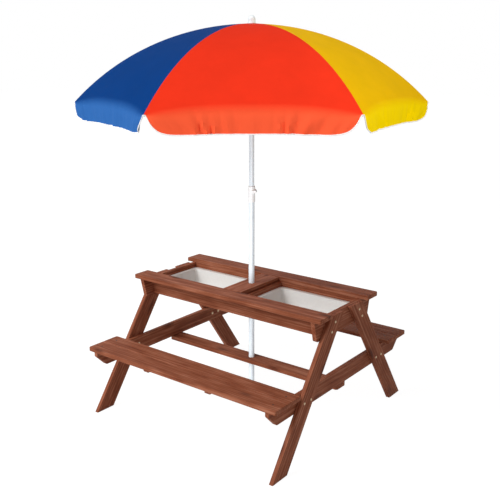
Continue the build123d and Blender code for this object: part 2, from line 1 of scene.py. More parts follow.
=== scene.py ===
# %% [markdown]
# # A children's picnic table with a parasol
# The table is made of stained softwood boards, with two pale plastic bins let into its top and a
# seat along each side. A six-panel parasol stands through the middle. The boards, the tubes and the
# fasteners already have their right shape in the frame, so here they only get their finish. The
# parasol's cloth and the moulded bins are modelled anew, because their softness is in the shape.

# %% Load the frame
import json
from math import acos, atan2, cos, exp, pi, radians, sin, sqrt

import bpy
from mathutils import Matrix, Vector

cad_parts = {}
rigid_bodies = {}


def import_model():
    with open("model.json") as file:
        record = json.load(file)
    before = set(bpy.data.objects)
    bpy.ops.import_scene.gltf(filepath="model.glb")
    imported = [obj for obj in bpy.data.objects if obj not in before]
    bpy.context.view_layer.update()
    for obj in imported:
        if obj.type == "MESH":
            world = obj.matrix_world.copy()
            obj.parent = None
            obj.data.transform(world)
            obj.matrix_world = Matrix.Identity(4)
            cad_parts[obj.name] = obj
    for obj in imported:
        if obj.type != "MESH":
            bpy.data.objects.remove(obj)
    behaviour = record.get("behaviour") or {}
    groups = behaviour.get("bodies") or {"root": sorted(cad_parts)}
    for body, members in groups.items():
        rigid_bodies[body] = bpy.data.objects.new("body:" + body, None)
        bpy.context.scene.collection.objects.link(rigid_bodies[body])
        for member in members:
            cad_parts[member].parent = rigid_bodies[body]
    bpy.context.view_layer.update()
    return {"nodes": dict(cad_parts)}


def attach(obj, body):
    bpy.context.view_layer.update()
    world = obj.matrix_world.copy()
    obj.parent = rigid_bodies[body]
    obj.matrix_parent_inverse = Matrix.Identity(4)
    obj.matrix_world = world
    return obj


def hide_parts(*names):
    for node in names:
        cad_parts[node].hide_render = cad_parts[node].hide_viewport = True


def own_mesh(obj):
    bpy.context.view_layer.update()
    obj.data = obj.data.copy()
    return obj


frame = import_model()

# %% [markdown]
# ## Camera
# The camera stands where the photograph was taken from: a little above the table top, looking
# across the right-hand front corner. Its distance and lens come from the corners of the boards, so
# lines that run away from the viewer close up just as they do in the photograph. The lens is given
# as a multiple of the frame's width, so that it doesn't depend on the sensor's size.

# %% Camera
VIEW_AZIMUTH = radians(37.52)
VIEW_ELEVATION = radians(14.93)
VIEW_DISTANCE = 2.847
VIEW_TARGET = Vector((-0.0048, -0.0036, 0.6233))
LENS_PER_FRAME = 1.5056
SENSOR_WIDTH = 36

towards_viewer = Vector(
    (
        sin(VIEW_AZIMUTH) * cos(VIEW_ELEVATION),
        -cos(VIEW_AZIMUTH) * cos(VIEW_ELEVATION),
        sin(VIEW_ELEVATION),
    )
)
bpy.ops.object.camera_add(location=VIEW_TARGET + VIEW_DISTANCE * towards_viewer)
camera = bpy.context.object
camera.name = "photo_camera"
camera.rotation_euler = towards_viewer.to_track_quat("Z", "Y").to_euler()
camera.data.sensor_width = SENSOR_WIDTH
camera.data.lens = LENS_PER_FRAME * SENSOR_WIDTH
bpy.context.scene.camera = camera
print("lens", round(camera.data.lens, 1), "mm")

# %% [markdown]
# ## Studio
# The photograph is a cut-out on white, with soft light from all round and a broad lamp at the front
# left. The world gives the even light. It could simply be bright, but then white objects would lose
# their shape, so the Light Path node tells the rays apart: those that show the background get plain
# white, and those that light the table get a third of it.
#
# Every network of nodes below is made with the same two helpers. One adds a node with its values,
# and the other adds up or compares sockets and numbers.

# %% World
AROUND_STRENGTH = 0.33
WHITE = (1, 1, 1, 1)


def add_node(tree, kind, settings=None, **values):
    """Adds a node, sets its options and the values of its named inputs."""
    node = tree.nodes.new(kind)
    for option, choice in (settings or {}).items():
        setattr(node, option, choice)
    for socket, value in values.items():
        node.inputs[socket.replace("_", " ")].default_value = value
    return node


def sums(tree, operation, *terms):
    """A Math node whose terms are sockets or numbers."""
    node = add_node(tree, "ShaderNodeMath", {"operation": operation})
    for place, term in enumerate(terms):
        if isinstance(term, (int, float)):
            node.inputs[place].default_value = term
        else:
            tree.links.new(term, node.inputs[place])
    return node.outputs["Value"]


def show_by_ray(tree, output, lighting, backdrop):
    """Lights the table with one shader, and shows the camera, reflections and glass another."""
    path = tree.nodes.new("ShaderNodeLightPath")
    seen = sums(tree, "MAXIMUM", path.outputs["Is Camera Ray"], path.outputs["Is Glossy Ray"])
    seen = sums(tree, "MAXIMUM", seen, path.outputs["Is Transmission Ray"])
    choose = tree.nodes.new("ShaderNodeMixShader")
    tree.links.new(seen, choose.inputs["Fac"])
    tree.links.new(lighting, choose.inputs[1])
    tree.links.new(backdrop, choose.inputs[2])
    tree.links.new(choose.outputs["Shader"], tree.nodes[output].inputs["Surface"])


world = bpy.data.worlds.new("pale_studio")
bpy.context.scene.world = world
world.use_nodes = True
tree = world.node_tree
lighting = tree.nodes["Background"]
lighting.inputs["Color"].default_value = WHITE
lighting.inputs["Strength"].default_value = AROUND_STRENGTH
backdrop = add_node(tree, "ShaderNodeBackground", Color=WHITE, Strength=1)
show_by_ray(tree, "World Output", lighting.outputs["Background"], backdrop.outputs["Background"])
print("world made, with", len(tree.nodes), "nodes")

# %% [markdown]
# ### Lamps
# The long edges of the real boards are bright and the end frames are in their own shade, which one
# large area lamp at the front left gives. Three small lamps lift the canopy's right side, its
# hanging hem, and the white pole below the cloth. Light linking keeps them off the boards, as black
# flags do in a studio: each has a group of the only pieces that it shines on. The finial is lit
# with the cloth, whose gores join the groups when they are made.

# %% Lamps
BROAD_WATTS = 290
SIDE_WATTS = 19
HEM_WATTS = 6
POLE_WATTS = 22


def studio_lamp(name, place, aim, size, watts):
    """A square area lamp that faces a point."""
    bpy.ops.object.light_add(type="AREA", location=place)
    lamp = bpy.context.object
    lamp.name = name
    lamp.data.size = size
    lamp.data.energy = watts
    lamp.rotation_euler = (lamp.location - Vector(aim)).to_track_quat("Z", "Y").to_euler()
    return lamp


def lit_pieces(lamp):
    """A group of the only pieces that a lamp shines on."""
    group = bpy.data.collections.new(f"{lamp.name}_reach")
    lamp.light_linking.receiver_collection = group
    return group.objects


studio_lamp("broad_lamp", (-2.2, -4.5, 4.0), (0, 0, 0.6), 3.6, BROAD_WATTS)
side_lamp = studio_lamp("side_lamp", (1.9, -0.3, 2.1), (0, 0, 1.3), 0.9, SIDE_WATTS)
hem_lamp = studio_lamp("hem_lamp", (-0.2, -2.4, 0.9), (0, -0.5, 1.1), 1.2, HEM_WATTS)
pole_lamp = studio_lamp("pole_lamp", (0.9, -1.7, 0.36), (0, 0, 0.4), 0.6, POLE_WATTS)
lit_cloth = (lit_pieces(side_lamp), lit_pieces(hem_lamp))
for group in lit_cloth:
    group.link(frame["nodes"]["finial"])
lit_pole = lit_pieces(pole_lamp)
for name in ("lower_pole", "pole_collar", "upper_pole", "runner", "pole_foot"):
    lit_pole.link(frame["nodes"][name])
print(len(bpy.data.lights), "lamps,", len(lit_pole), "pieces of the pole lit on their own")

# %% [markdown]
# ### Floor
# The floor throws light up at the table as any pale floor does. Where it is seen it glows a little
# less than white and adds a share of the light that falls on it, so it looks as white as the
# backdrop and only a faint shadow shows.

# %% Floor
FLOOR_SIZE = 40
FLOOR_GREY = 0.8
FLOOR_GLOW = 0.94
FLOOR_SHARE = 0.2


def new_finish(name, **values):
    """A material with one Principled shader, and its node tree."""
    material = bpy.data.materials.new(name)
    material.use_nodes = True
    tree = material.node_tree
    shader = tree.nodes["Principled BSDF"]
    for socket, value in values.items():
        shader.inputs[socket.replace("_", " ")].default_value = value
    return material, tree, shader


bpy.ops.object.select_all(action="DESELECT")
bpy.ops.mesh.primitive_plane_add(size=FLOOR_SIZE)
floor = bpy.context.object
floor.name = "floor"
floor_finish, tree, shader = new_finish(
    "pale_floor", Base_Color=(FLOOR_GREY, FLOOR_GREY, FLOOR_GREY, 1), Roughness=0.9
)
glow = add_node(tree, "ShaderNodeEmission", Color=WHITE, Strength=FLOOR_GLOW)
shaded = add_node(tree, "ShaderNodeBsdfDiffuse", Color=(FLOOR_SHARE, FLOOR_SHARE, FLOOR_SHARE, 1))
pale = tree.nodes.new("ShaderNodeAddShader")
tree.links.new(glow.outputs["Emission"], pale.inputs[0])
tree.links.new(shaded.outputs["BSDF"], pale.inputs[1])
show_by_ray(tree, "Material Output", shader.outputs["BSDF"], pale.outputs["Shader"])
floor.data.materials.append(floor_finish)
bpy.context.scene.view_settings.view_transform = "Standard"
print("floor", FLOOR_SIZE, "m wide")

# %% [markdown]
# ## What a finish is made of
# No surface of the real table has one flat colour, and a smooth picture pasted on it would show
# where it repeats. So every finish below is a shader that is fed by procedural patterns, put
# together from five helpers: a pattern read at a place, a ramp that turns it into colours, a blend
# towards a second colour, a roughness that rises with it, and a relief.

# %% Parts of a finish


def ramp(tree, factor, *stops):
    """A colour ramp with the given (place, colour) stops, fed by a factor."""
    node = tree.nodes.new("ShaderNodeValToRGB")
    elements = node.color_ramp.elements
    while len(elements) < len(stops):
        elements.new(0.5)
    for element, (place, colour) in zip(elements, stops):
        element.position = place
        element.color = (*colour, 1)
    tree.links.new(factor, node.inputs["Fac"])
    return node


def pattern(tree, kind, place, settings=None, **values):
    """A texture node that is read at a place."""
    texture = add_node(tree, kind, settings, **values)
    tree.links.new(place, texture.inputs["Vector"])
    return texture


def blend_colour(tree, factor, first, second):
    """Goes from the colour of a socket to a plain second colour as the factor rises."""
    mix = add_node(tree, "ShaderNodeMix", {"data_type": "RGBA"})
    tree.links.new(factor, mix.inputs["Factor"])
    tree.links.new(first, mix.inputs["A"])
    mix.inputs["B"].default_value = (*second, 1)
    return mix.outputs["Result"]


def dull(tree, shader, factor, least, rise):
    """Lets the roughness rise from its least value with a factor."""
    tree.links.new(sums(tree, "MULTIPLY_ADD", factor, rise, least), shader.inputs["Roughness"])


def bump(tree, shader, height, strength, depth):
    """Raises the surface by a height between 0 and 1, depth metres tall."""
    node = add_node(tree, "ShaderNodeBump", Strength=strength, Distance=depth)
    tree.links.new(height, node.inputs["Height"])
    tree.links.new(node.outputs["Normal"], shader.inputs["Normal"])


print("colour, roughness and relief can follow a pattern")

# %% [markdown]
# ## Stained boards
# The real boards are pine with a thin red-brown stain: the growth rings show as long dark lines,
# fine fibres run between them, and knots are darker still. A photograph of wood would do for one
# board, but a procedural grain can be turned along each board and moved, so that no two are alike.
# The grain is measured with dot products along the board and across it. Rings come from a Wave
# texture round a distant axis, as in a board that is sawn far from the trunk's middle. Fibres,
# streaks and clouds of tone come from stretched Noise, and knots from the middles of wide Voronoi
# cells.

# %% Stained pine
STAIN_DARK = (0.178, 0.044, 0.019)
STAIN_MIDDLE = (0.300, 0.092, 0.044)
STAIN_LIGHT = (0.455, 0.178, 0.104)
STAIN_STOPS = ((0.46, STAIN_DARK), (0.645, STAIN_MIDDLE), (0.82, STAIN_LIGHT))
STAIN_GLOSS = 0.09
STAIN_ROUGHNESS = (0.47, 0.25)
GRAIN_STRENGTH = 0.55
GRAIN_RELIEF = 0.0009

# How often a pattern changes in a metre, along the board and across it. Rings have a count as well
FIBRE_SCALE = (9.0, 420.0)
STREAK_SCALE = (1.8, 120.0)
CLOUD_SCALE = (9.0, 38.0)
KNOT_SCALE = (5.0, 15.0)
RING_SCALE = (0.12, 1.0)
RING_COUNT = 40.0

# How much of the grain's tone comes from each pattern
RING_SHARE = 0.10
FIBRE_SHARE = 0.34
STREAK_SHARE = 0.40
CLOUD_SHARE = 0.46

# Where in the trunk a board is sawn from: each one further along, and to its own side of the axis
TRUNK_STEP = 0.37
AXIS_WANDER = 0.011
AXIS_DEPTH = 0.05

# A knot is darkest inside its core and ends at its edge, in shares of a cell
KNOT = (0.070, 0.016, 0.009)
KNOT_CORE = 0.03
KNOT_EDGE = 0.24
KNOT_STRENGTH = 0.8


def board_places(tree, grain, face):
    """Places measured along the board, across its wide face, and through it."""
    place = tree.nodes.new("ShaderNodeTexCoord").outputs["Object"]
    along = Vector(grain).normalized()
    through = Vector(face).normalized()
    board = tree.nodes.new("ShaderNodeCombineXYZ")
    for direction, socket in zip((along, through.cross(along), through), board.inputs):
        measure = add_node(tree, "ShaderNodeVectorMath", {"operation": "DOT_PRODUCT"})
        tree.links.new(place, measure.inputs[0])
        measure.inputs[1].default_value = direction
        tree.links.new(measure.outputs["Value"], socket)
    return board.outputs["Vector"]


def stained_board(name, grain, face, number):
    """Stained pine with its grain along one direction and its wide face towards another."""
    material, tree, shader = new_finish(name, Specular_IOR_Level=STAIN_GLOSS)
    places = board_places(tree, grain, face)
    own_part = (TRUNK_STEP * number, AXIS_WANDER * sin(7 * number), AXIS_DEPTH)

    def stretched(along, across):
        scale = (along, across, across)
        mapping = pattern(tree, "ShaderNodeMapping", places, Location=own_part, Scale=scale)
        return mapping.outputs["Vector"]

    def noise(scale, **values):
        place = stretched(*scale)
        return pattern(tree, "ShaderNodeTexNoise", place, Scale=1.0, **values).outputs["Fac"]

    rings = pattern(
        tree,
        "ShaderNodeTexWave",
        stretched(*RING_SCALE),
        {"wave_type": "RINGS", "rings_direction": "X"},
        Scale=RING_COUNT,
        Distortion=7.0,
        Detail=3.0,
        Detail_Scale=0.6,
    ).outputs["Fac"]
    fibres = noise(FIBRE_SCALE, Detail=5.0, Roughness=0.62)
    streaks = noise(STREAK_SCALE, Detail=3.0, Roughness=0.55)
    clouds = noise(CLOUD_SCALE, Detail=2.0)
    rings_share = sums(tree, "MULTIPLY", rings, RING_SHARE)
    fibres_share = sums(tree, "MULTIPLY", fibres, FIBRE_SHARE)
    streaks_share = sums(tree, "MULTIPLY", streaks, STREAK_SHARE)
    clouds_share = sums(tree, "MULTIPLY", clouds, CLOUD_SHARE)
    fine = sums(tree, "ADD", rings_share, fibres_share)
    tone = sums(tree, "ADD", fine, sums(tree, "ADD", streaks_share, clouds_share))
    stain = ramp(tree, tone, *STAIN_STOPS)

    cells = pattern(tree, "ShaderNodeTexVoronoi", stretched(*KNOT_SCALE), Scale=1.0)
    knot = add_node(
        tree,
        "ShaderNodeMapRange",
        {"interpolation_type": "SMOOTHSTEP"},
        From_Min=KNOT_CORE,
        From_Max=KNOT_EDGE,
        To_Min=KNOT_STRENGTH,
        To_Max=0.0,
    )
    tree.links.new(cells.outputs["Distance"], knot.inputs["Value"])
    knotty = blend_colour(tree, knot.outputs["Result"], stain.outputs["Color"], KNOT)
    tree.links.new(knotty, shader.inputs["Base Color"])
    dull(tree, shader, fibres, *STAIN_ROUGHNESS)
    bump(tree, shader, tone, GRAIN_STRENGTH, GRAIN_RELIEF)
    return material


print("the widest fibres are about", round(1000 / FIBRE_SCALE[1], 1), "mm wide")

# %% [markdown]
# ### Which way each board runs
# A board's grain always follows its length, and the rings show differently on its wide face and on
# its edge. So every board is listed with the direction of its length and the direction that its
# wide face looks in. The legs lean, and their grain leans with them.

# %% Stain every board
LONG = (1, 0, 0)
CROSS = (0, 1, 0)
UP = (0, 0, 1)
LEG_LEAN = radians(35)
FRONT_LEG = (0, -sin(LEG_LEAN), -cos(LEG_LEAN))
REAR_LEG = (0, sin(LEG_LEAN), -cos(LEG_LEAN))

boards = {
    "front_top_plank": (LONG, UP),
    "rear_top_plank": (LONG, UP),
    "umbrella_plank": (CROSS, UP),
    "left_end_beam": (CROSS, LONG),
    "right_end_beam": (CROSS, LONG),
    "front_apron": (LONG, CROSS),
    "rear_apron": (LONG, CROSS),
    "left_centre_rail": (CROSS, LONG),
    "right_centre_rail": (CROSS, LONG),
    "bin_ledges": (LONG, CROSS),
    "front_left_leg": (FRONT_LEG, LONG),
    "front_right_leg": (FRONT_LEG, LONG),
    "rear_left_leg": (REAR_LEG, LONG),
    "rear_right_leg": (REAR_LEG, LONG),
    "left_seat_beam": (CROSS, LONG),
    "right_seat_beam": (CROSS, LONG),
    "front_seat_outer_board": (LONG, UP),
    "front_seat_inner_board": (LONG, UP),
    "rear_seat_outer_board": (LONG, UP),
    "rear_seat_inner_board": (LONG, UP),
    "front_seat_cleats": (CROSS, UP),
    "rear_seat_cleats": (CROSS, UP),
    "lower_stretcher": (LONG, UP),
}


def refinish(name, material):
    """Gives a piece of the frame its finish, without touching its shape."""
    for place in frame["nodes"][name].material_slots:
        place.material = material


for number, (name, (grain, face)) in enumerate(boards.items(), start=1):
    refinish(name, stained_board(f"stain_{name}", grain, face, number))
print(len(boards), "boards stained")

# %% [markdown]
# ## Metal, paint and plastic
# The bolt heads are zinc with a yellow tint, the pole is white enamel on steel, and the collar, hub
# and finial are white moulded plastic. Each is a Principled shader whose colour and roughness vary
# a little with Noise, because no real surface is perfectly even.

# %% Small finishes
RIBS = 6
WANDER_STOPS = (0.35, 0.65)
ROUGHNESS_WANDER = 0.12
MOULDED_STRENGTH = 0.3


def even_finish(name, colour, roughness, spread, scale, metallic=0.0, relief=0.0):
    """A plain finish whose colour and roughness wander slightly."""
    material, tree, shader = new_finish(name, Metallic=metallic)
    place = tree.nodes.new("ShaderNodeTexCoord").outputs["Object"]
    wander = pattern(tree, "ShaderNodeTexNoise", place, Scale=scale, Detail=4.0).outputs["Fac"]
    darker = tuple(channel * (1 - spread) for channel in colour)
    tint = ramp(tree, wander, *zip(WANDER_STOPS, (darker, colour)))
    tree.links.new(tint.outputs["Color"], shader.inputs["Base Color"])
    dull(tree, shader, wander, roughness - ROUGHNESS_WANDER / 2, ROUGHNESS_WANDER)
    if relief:
        bump(tree, shader, wander, MOULDED_STRENGTH, relief)
    return material


# Each finish: colour, roughness, how far the colour wanders, and how often it does in a metre
bolt_zinc = even_finish("yellow_zinc", (0.66, 0.47, 0.30), 0.48, 0.25, 900, metallic=0.55)
screw_black = even_finish("blackened_screws", (0.05, 0.035, 0.03), 0.55, 0.3, 900, metallic=0.5)
pole_enamel = even_finish("white_enamel", (0.77, 0.85, 0.91), 0.34, 0.015, 90)
white_moulding = even_finish("white_moulding", (0.90, 0.91, 0.92), 0.42, 0.03, 500, relief=0.00002)
grey_moulding = even_finish("grey_moulding", (0.30, 0.29, 0.29), 0.45, 0.1, 500)
# The finial is the same white plastic as the collar, but its copy is painted darker and bluer:
# painted shade against its lamps and against the red light that the cloth throws on it.
shaded_finial_moulding = even_finish("shaded_finial_moulding", (0.80, 0.87, 0.88), 0.42, 0.03, 500)
rib_enamel = even_finish("rib_enamel", (0.72, 0.73, 0.74), 0.35, 0.12, 300)

small_finishes = {
    "leg_bolts": bolt_zinc,
    "leg_nuts": bolt_zinc,
    "seat_screws": bolt_zinc,
    "seat_end_screws": screw_black,
    "stretcher_screws": bolt_zinc,
    "lower_pole": pole_enamel,
    "upper_pole": pole_enamel,
    "pole_foot": white_moulding,
    "pole_collar": white_moulding,
    "crown_hub": white_moulding,
    "finial": shaded_finial_moulding,
    "runner": white_moulding,
    "lock_button": grey_moulding,
    "runner_button": grey_moulding,
    "crown_pins": rib_enamel,
    "runner_pins": rib_enamel,
}
for number in range(1, RIBS + 1):
    small_finishes[f"rib_{number}"] = rib_enamel
    small_finishes[f"strut_{number}"] = rib_enamel
for name, material in small_finishes.items():
    refinish(name, material)
print(len(small_finishes), "small pieces finished")

# %% [markdown]
# ## Play bins
# Each bin is a thin moulded tray: a flat rim, walls that lean in so that it lifts out of its mould,
# and soft corners. It starts as a box without its top. The floor is drawn in, the upright edges and
# the floor's edges are bevelled, and the open edge is extruded outwards for the rim. Solidify gives
# the wall its thickness at the end, so that the inside and outside stay parallel.
#
# First come three helpers that do in code what a hand does with the mouse: pick a piece, pick some
# of its edges or faces, and read where an edge's corners are.

# %% Picking edges and faces
SELECT_MODES = {"edges": "EDGE", "polygons": "FACE"}


def only(piece):
    """Selects this piece alone and makes it active."""
    bpy.ops.object.select_all(action="DESELECT")
    piece.select_set(True)
    bpy.context.view_layer.objects.active = piece


def pick(piece, kind, wanted):
    """Selects the edges or polygons that pass a test, and goes into edit mode."""
    mesh = piece.data
    for part in (mesh.vertices, mesh.edges, mesh.polygons):
        for element in part:
            element.select = False
    for element in getattr(mesh, kind):
        element.select = wanted(element)
    bpy.ops.object.mode_set(mode="EDIT")
    bpy.ops.mesh.select_mode(type=SELECT_MODES[kind])


def ends(piece, edge):
    """The two corners of an edge."""
    return [piece.data.vertices[number].co for number in edge.vertices]


print("can pick", " and ".join(SELECT_MODES))

# %% [markdown]
# ### Moulding a bin
# The bins' sizes are those of their solids in the frame, so each tray sits on the same ledges. The
# sizes are of the outside, and Solidify works from the middle of the wall, so the box is made one
# wall smaller each way.

# %% Play bins
RIM_TOP = 0.462
RIM_LENGTH = 0.3368
RIM_WIDTH = 0.2408
TRAY_LENGTH = 0.3048
TRAY_WIDTH = 0.2088
TRAY_DEPTH = 0.057
TRAY_WALL = 0.0025
FLOOR_INSET = 0.007
CORNER_ROUND = 0.015
FLOOR_ROUND = 0.007
EDGE_SOFTNESS = 0.0009
BIN_MIDDLE_X = 0.223
LEVEL = 0.9
SAME_HEIGHT = 0.0001

bin_plastic = even_finish("pale_bin_plastic", (0.80, 0.80, 0.78), 0.45, 0.03, 90, relief=0.0001)


def open_box(name, middle_x):
    """A box without its top, whose walls lean in towards the floor."""
    bpy.ops.object.select_all(action="DESELECT")
    middle = (middle_x, 0, RIM_TOP - TRAY_WALL / 2 - TRAY_DEPTH / 2)
    bpy.ops.mesh.primitive_cube_add(size=1, location=middle)
    tray = bpy.context.object
    tray.name = name
    tray.scale = (TRAY_LENGTH - TRAY_WALL, TRAY_WIDTH - TRAY_WALL, TRAY_DEPTH - TRAY_WALL)
    bpy.ops.object.transform_apply(location=True, rotation=False, scale=True)
    pick(tray, "polygons", lambda face: face.normal.z > LEVEL)
    bpy.ops.mesh.delete(type="FACE")
    bpy.ops.object.mode_set(mode="OBJECT")
    pick(tray, "polygons", lambda face: face.normal.z < -LEVEL)
    drawn_in = (1 - 2 * FLOOR_INSET / TRAY_LENGTH, 1 - 2 * FLOOR_INSET / TRAY_WIDTH, 1)
    bpy.ops.transform.resize(value=drawn_in, center_override=(middle_x, 0, 0))
    bpy.ops.object.mode_set(mode="OBJECT")
    return tray


def round_edges(tray):
    """Rounds the four upright edges, then the edges all round the floor."""

    def upright(edge):
        low, high = sorted(corner.z for corner in ends(tray, edge))
        return high - low > TRAY_DEPTH / 2

    pick(tray, "edges", upright)
    bpy.ops.mesh.bevel(offset=CORNER_ROUND, segments=6, affect="EDGES")
    bpy.ops.object.mode_set(mode="OBJECT")
    near_floor = RIM_TOP - TRAY_DEPTH * 5 / 6

    def round_the_floor(edge):
        on_floor = all(corner.z < near_floor for corner in ends(tray, edge))
        return on_floor and any(
            face.normal.z > -LEVEL
            for face in tray.data.polygons
            if set(edge.vertices) <= set(face.vertices)
        )

    pick(tray, "edges", round_the_floor)
    bpy.ops.mesh.bevel(offset=FLOOR_ROUND, segments=4, affect="EDGES")
    bpy.ops.object.mode_set(mode="OBJECT")


def draw_out_rim(tray, middle_x):
    """Extrudes the open edge and widens it to the rim's outline."""
    top = max(vertex.co.z for vertex in tray.data.vertices) - SAME_HEIGHT
    pick(tray, "edges", lambda edge: all(corner.z > top for corner in ends(tray, edge)))
    bpy.ops.mesh.extrude_edges_move()
    wider = (
        (RIM_LENGTH - TRAY_WALL) / (TRAY_LENGTH - TRAY_WALL),
        (RIM_WIDTH - TRAY_WALL) / (TRAY_WIDTH - TRAY_WALL),
        1,
    )
    bpy.ops.transform.resize(value=wider, center_override=(middle_x, 0, 0))
    bpy.ops.mesh.select_all(action="SELECT")
    bpy.ops.mesh.normals_make_consistent(inside=False)
    bpy.ops.object.mode_set(mode="OBJECT")


def moulded_bin(name, node, middle_x):
    """One lift-out tray, in place of its plain solid."""
    tray = open_box(name, middle_x)
    round_edges(tray)
    draw_out_rim(tray, middle_x)
    wall = tray.modifiers.new("wall", "SOLIDIFY")
    wall.thickness = TRAY_WALL
    wall.offset = 0
    wall.use_even_offset = True
    softened = tray.modifiers.new("softened", "BEVEL")
    softened.width = EDGE_SOFTNESS
    softened.segments = 2
    softened.limit_method = "ANGLE"
    softened.angle_limit = radians(50)
    for modifier in ("wall", "softened"):
        bpy.ops.object.modifier_apply(modifier=modifier)
    bpy.ops.object.shade_smooth_by_angle(angle=radians(40))
    tray.data.materials.append(bin_plastic)
    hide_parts(node)
    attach(tray, node)
    print(name, len(tray.data.polygons), "faces")


moulded_bin("sand_bin_tray", "sand_bin", -BIN_MIDDLE_X)
moulded_bin("water_bin_tray", "water_bin", BIN_MIDDLE_X)

# %% [markdown]
# ## Parasol cloth
# The canopy is six gores of thin woven polyester, sewn together along the ribs. Between two ribs
# the cloth is pulled straight, so every line across a gore is straight while every line down it
# follows the bow of the ribs. Past the outer seam it hangs free as a valance with rounded corners
# and a white bound hem, and it ripples a little. Cloth this tight is better drawn than simulated: a
# grid is laid out flat and each of its points is moved to its place on the bow.
#
# When the parasol closes, each rib swings down and takes the nearer half of both its gores along,
# so the gores are made as halves. Each half rides its rib.
#
# A place on a gore is given by its side, from -1 at one rib to 1 at the next, and by how far down
# it is, from 0 at the crown over 1 at the seam to 2 at the hem.

# %% Cloth shape
BOW_RADIUS = 0.88302
BOW_CENTRE = 0.56098
CANOPY_RADIUS = 0.637
CROWN_HOLE = 0.0105
SEAM_RISE = 0.027
GORE_ANGLE = 60
HALF_GORE = radians(GORE_ANGLE / 2)
HALF_WIDTH = CANOPY_RADIUS * sin(HALF_GORE)

# The valance: its length, its rounded corners, and how it turns from the seam's slope to hanging
VALANCE = 0.063
VALANCE_ROUND = 0.021
ROUND_FULLNESS = 0.95
CORNER_STITCH = 0.006
HEM_MIDDLE_Z = 1.1165
HEM_LEVELS_OUT = 1.6
SOFT_TURN = 0.011
TURN_STEPS = 24
FLATTEST_TURN = 0.2
SHORT_VALANCE = 0.03

# The ripples: their depth, the hanging length at which they are full, how fast they draw together
# towards the hem, and their waves in radians a metre. Each gore has its own phase
RIPPLE_DEPTH = 0.0050
RIPPLE_FULL = 0.055
RIPPLE_GATHER = 2.5
WIDE_WAVES = 118
NARROW_WAVES = 210
SPACING_WANDER = 31
DEPTH_WANDER = 23


def bow_height(reach):
    """Height of the cloth over a rib, at a distance from the pole."""
    return BOW_CENTRE + sqrt(BOW_RADIUS**2 - reach**2)


def seam_reach(side):
    """How far down the bow the gore ends: its seam arches up between the ribs."""
    return CANOPY_RADIUS - SEAM_RISE * (1 - abs(side) ** 3)


def hem_height(side):
    """Height of the hem: level in the middle, rounded up to the seam at the gore's corners."""
    from_corner = HALF_WIDTH * (1 - abs(side))
    past_stitch = max(0, from_corner - CORNER_STITCH)
    drop = VALANCE * (1 - exp(-((past_stitch / VALANCE_ROUND) ** ROUND_FULLNESS)))
    corner_hem = bow_height(CANOPY_RADIUS) - drop
    middle_share = min(1, from_corner / HALF_WIDTH * HEM_LEVELS_OUT)
    return corner_hem + (HEM_MIDDLE_Z - (bow_height(CANOPY_RADIUS) - VALANCE)) * middle_share


def ripple(side, hang, phase):
    """Uneven waves in the hanging cloth, none at the seam, whose spacing and depth both wander."""
    wide = CANOPY_RADIUS * side * 0.5
    depth = 0.6 + 0.4 * sin(DEPTH_WANDER * wide + 2.3 * phase)
    inwards = wide * (1 + RIPPLE_GATHER * hang)
    waves = sin(WIDE_WAVES * inwards + 2.4 * sin(SPACING_WANDER * wide + phase) + phase)
    waves += 0.5 * sin(NARROW_WAVES * inwards - 1.2 * phase)
    return RIPPLE_DEPTH * depth * waves * min(1, hang / RIPPLE_FULL) ** 1.2


def hanging_out(end, hang):
    """How far the valance gets from the pole while it turns from the seam's slope to hanging."""
    slope = atan2(end, bow_height(end) - BOW_CENTRE)
    outwards = 0.0
    for step in range(TURN_STEPS):
        drop = hang * (step + 0.5) / TURN_STEPS
        turn = slope + (pi / 2 - slope) * (1 - exp(-drop / SOFT_TURN))
        outwards += hang / TURN_STEPS / max(FLATTEST_TURN, sin(turn)) * cos(turn)
    return outwards


def cloth_point(side, down, phase):
    """A point of the gore: its distance out from the pole, sideways, and up."""
    end = seam_reach(side)
    if down <= 1:
        first_angle = acos(CROWN_HOLE / BOW_RADIUS)
        last_angle = acos(end / BOW_RADIUS)
        reach = BOW_RADIUS * cos(first_angle + (last_angle - first_angle) * down)
        return reach * cos(HALF_GORE), reach * sin(HALF_GORE) * side, bow_height(reach)
    length = bow_height(end) - hem_height(side)
    hang = length * (down - 1)
    fade = 1 - exp(-length / SHORT_VALANCE)
    out = end * cos(HALF_GORE) + hanging_out(end, hang) * fade + ripple(side, hang, phase)
    return out, end * sin(HALF_GORE) * side, bow_height(end) - hang


print("seam in the middle of a gore at", round(bow_height(seam_reach(0)), 3), "m")

# %% [markdown]
# ### Woven polyester
# Close up the cloth is a plain weave, two sets of threads two thirds of a millimetre apart. Two
# Wave textures across each other give its relief, read from a UV map measured in metres so that the
# threads follow the gore. A broad Noise varies the dye, and a trace of sheen gives the pale edge
# that thin cloth has where it turns away. The sun side of the cloth shows its dye plainly. The
# light that comes through the hanging valance is painted in: from the seam down its colour is
# painted paler.

# %% Woven cloth
THREADS_PER_METRE = 1500
BANDS_PER_SCALE = 3
GORE_CUT = 0.68
VALANCE_CUT = 0.08
WORN_SHARE = 0.9
PALER_FROM = 0.012
PALER_WITHIN = 0.03
CRUMPLE_RELIEF = 6.0
WEAVE_STRENGTH = 0.25
WEAVE_RELIEF = 0.0003


